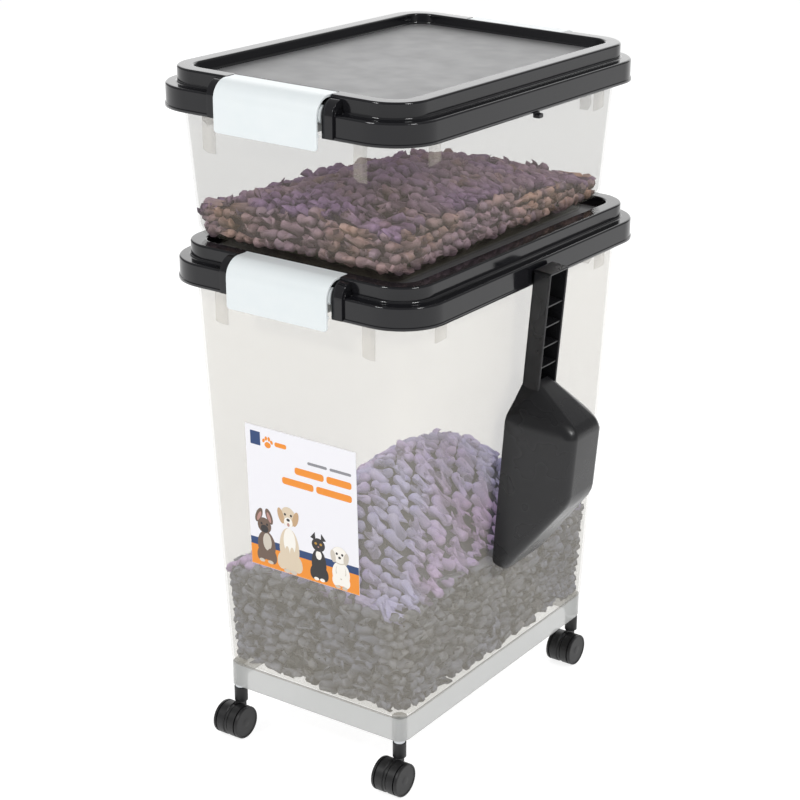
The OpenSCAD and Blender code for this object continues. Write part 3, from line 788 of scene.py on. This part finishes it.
bm = bmesh.new()
block(bm, (0, -16, -119), (2.4, 16, 0), 1.0, 3)
block(bm, (0, -16, -119), (18, -13.6, 0), 1.0, 3)
block(bm, (0, 13.6, -119), (18, 16, 0), 1.0, 3)
block(bm, (0, -16, -2.6), (18, 16, 0), 1.0, 3)
block(bm, (0, -16, -119), (18, 16, -114), 1.0, 3)
for u in (34, 54, 74, 94):
    block(bm, (1, -14.5, -u), (16.5, 14.5, 1.6 - u), 0.4)
bmesh.ops.rotate(bm, cent=(0, 0, 0), matrix=SCOOP_LEAN, verts=bm.verts)
put("scoop_handle", bm, satin_pp, "scoop", SCOOP_PLACE)


# ---- Upper bin ---------------------------------------------------------------------------
# A shallow bin in clearer polypropylene than the deep one, with a broad round bottom edge and
# a foot that stands in the recess of the lid below.

clear_pp = frosted_polypropylene("clear_polypropylene_shallow_bin", "#716e5c", "#7a7768", 0.15)
UPPER_Z = 626
UPPER_MIDDLE = MIDDLE - 8
bm = bin_wall(115.2, 177.2, 6.8, UPPER_Z - 507.5, 12)
put("upper_bin_wall", bm, clear_pp, "upper_bin", (UPPER_MIDDLE, 0, UPPER_Z),
    ["upper_bin"], wall=2.5)
bm = bmesh.new()
for turn, x, y in ((0, 121.6, 137), (0, 121.6, -137), (180, -121.6, 137), (180, -121.6, -137)):
    wall_rib(bm, (x, y), turn, 26)
for turn, x, y in ((90, 81, 183.6), (90, -81, 183.6), (-90, 81, -183.6), (-90, -81, -183.6)):
    wall_rib(bm, (x, y), turn, 38)
put("upper_bin_ribs", bm, milky_deep, "upper_bin", (UPPER_MIDDLE, 0, UPPER_Z))
bm, face = flat(100, 162, 16, 496.2)
copied = bmesh.ops.duplicate(bm, geom=[face])["geom"]
bmesh.ops.reverse_faces(bm, faces=[g for g in copied if isinstance(g, bmesh.types.BMFace)])
bmesh.ops.delete(bm, geom=[rise(bm, face, 12)], context="FACES_ONLY")
bmesh.ops.remove_doubles(bm, verts=bm.verts, dist=0.001)
round_edges(bm, 3, 3, high=497)
put("upper_bin_foot", bm, clear_pp, "upper_bin", (UPPER_MIDDLE, 0, 0), wall=2.2)
rim("upper_bin_rim", "upper_bin", "upper_rim", (UPPER_MIDDLE, 0, UPPER_Z))


# ---- Dry food in the upper bin -----------------------------------------------------------
# The same kibble, higher at the front than at the back, with a low mound over it.

def shallow_level(x, y):
    mound = max(0, 1 - abs((x - 18) / 130) ** 1.25) * max(0, 1 - abs((y + 20) / 190) ** 2)
    return 527 - 0.05 * y + 0.03 * x + 36 * mound


shallow_food = kibble("baked_kibble_shallow_bin", ["#8f7b79", "#a98d83", "#bd9b88", "#9a8790"],
                      "#9c8698", 0.32, 0.34)
shallow_mound_food = kibble("baked_kibble_shallow_mound", ["#957f8c", "#8a7280", "#9f8794", "#967d78"],
                            "#94799f", 0.3, 0.34)
rng = random.Random(23)
spots = wall_spots(rng, (107.5, 169.5), 17, shallow_level, 514.5, 11, lambda z: (z - 515) * 0.0577)
pour("upper_food_at_walls", spots, rng, shallow_food, "upper_bin", (UPPER_MIDDLE, 0, 0))
spots = heap_spots(rng, (105, 167), shallow_level, 11)
pour("upper_food_on_top", spots, rng, shallow_mound_food, "upper_bin", (UPPER_MIDDLE, 0, 0))
heap_core("upper_food_inside", (99, 161), 14, shallow_level, 512, shallow_food, "upper_bin",
          (UPPER_MIDDLE, 0, 0))


# ---- Upper lid and its latches -----------------------------------------------------------
# The same mouldings as on the deep bin.

lid("upper_lid_shell", "upper_lid", "upper_lid", (UPPER_MIDDLE, 0, UPPER_Z))
latch("upper_front_latch_plate", "upper_front_latch", -1, (UPPER_MIDDLE, 0, UPPER_Z))
latch("upper_back_latch_plate", "upper_back_latch", 1, (UPPER_MIDDLE, 0, UPPER_Z))


# ---- Studio ------------------------------------------------------------------------------
# A white table lit from below, soft white surroundings, a wide softbox behind the bin for the
# sheen on the lids, and a smaller one on each side for the fine highlights along the edges.

table, shader = finish_of("white_table", {"Base Color": (0.4, 0.4, 0.4, 1), "Roughness": 0.9,
                                          "Emission Color": (1, 1, 1, 1), "Emission Strength": 0.85})
shader.inputs["Specular IOR Level"].default_value = 0.0
bm = bmesh.new()
bmesh.ops.create_grid(bm, x_segments=1, y_segments=1, size=100)
mesh = bpy.data.meshes.new("table")
bm.to_mesh(mesh)
bm.free()
mesh.materials.append(table)
floor = bpy.data.objects.new("table", mesh)
bpy.context.scene.collection.objects.link(floor)

world = bpy.data.worlds.new("studio")
world.use_nodes = True
world.node_tree.nodes["Background"].inputs["Color"].default_value = (1, 1, 1, 1)
world.node_tree.nodes["Background"].inputs["Strength"].default_value = 0.36
bpy.context.scene.world = world


def softbox(name, azimuth, elevation, distance, size, radiance):
    """A rectangular light aimed at the bin; radiance is the brightness of its face."""
    a, e = math.radians(azimuth), math.radians(elevation)
    aim = Vector((0, 0, 0.4))
    place = aim + Vector((math.cos(a) * math.cos(e), math.sin(a) * math.cos(e), math.sin(e))) * distance
    lamp = bpy.data.lights.new(name, "AREA")
    lamp.shape = "RECTANGLE"
    lamp.size, lamp.size_y = size
    lamp.energy = radiance * math.pi * size[0] * size[1]
    light = bpy.data.objects.new(name, lamp)
    light.location = place
    light.rotation_mode = "QUATERNION"
    light.rotation_quaternion = (aim - place).to_track_quat("-Z", "Y")
    light.visible_camera = False
    bpy.context.scene.collection.objects.link(light)


softbox("softbox_behind", 120, 24, 3.2, (4.2, 2.4), 1.4)
softbox("softbox_left", -108, 39, 2.6, (0.6, 0.26), 48)
softbox("softbox_right", -10, 39, 2.6, (0.6, 0.26), 48)

bpy.context.scene.view_settings.view_transform = "Standard"

camera_data = bpy.data.cameras.new("camera")
camera_data.sensor_width = 36
camera_data.lens = 88.41
camera_data.shift_x = -0.2102
camera_data.shift_y = 0.0682
camera = bpy.data.objects.new("camera", camera_data)
yaw, pitch, roll = math.radians(30.022), math.radians(-22.317), math.radians(2.19)
ahead = Vector((-math.sin(yaw) * math.cos(pitch), math.cos(yaw) * math.cos(pitch), math.sin(pitch)))
level_right = ahead.cross(Vector((0, 0, 1))).normalized()
level_up = level_right.cross(ahead)
right = level_right * math.cos(roll) + level_up * math.sin(roll)
up = level_up * math.cos(roll) - level_right * math.sin(roll)
camera.matrix_world = Matrix((
    (right.x, up.x, -ahead.x, 1.00318),
    (right.y, up.y, -ahead.y, -1.4743),
    (right.z, up.z, -ahead.z, 1.00684),
    (0, 0, 0, 1)))
bpy.context.scene.collection.objects.link(camera)
bpy.context.scene.camera = camera
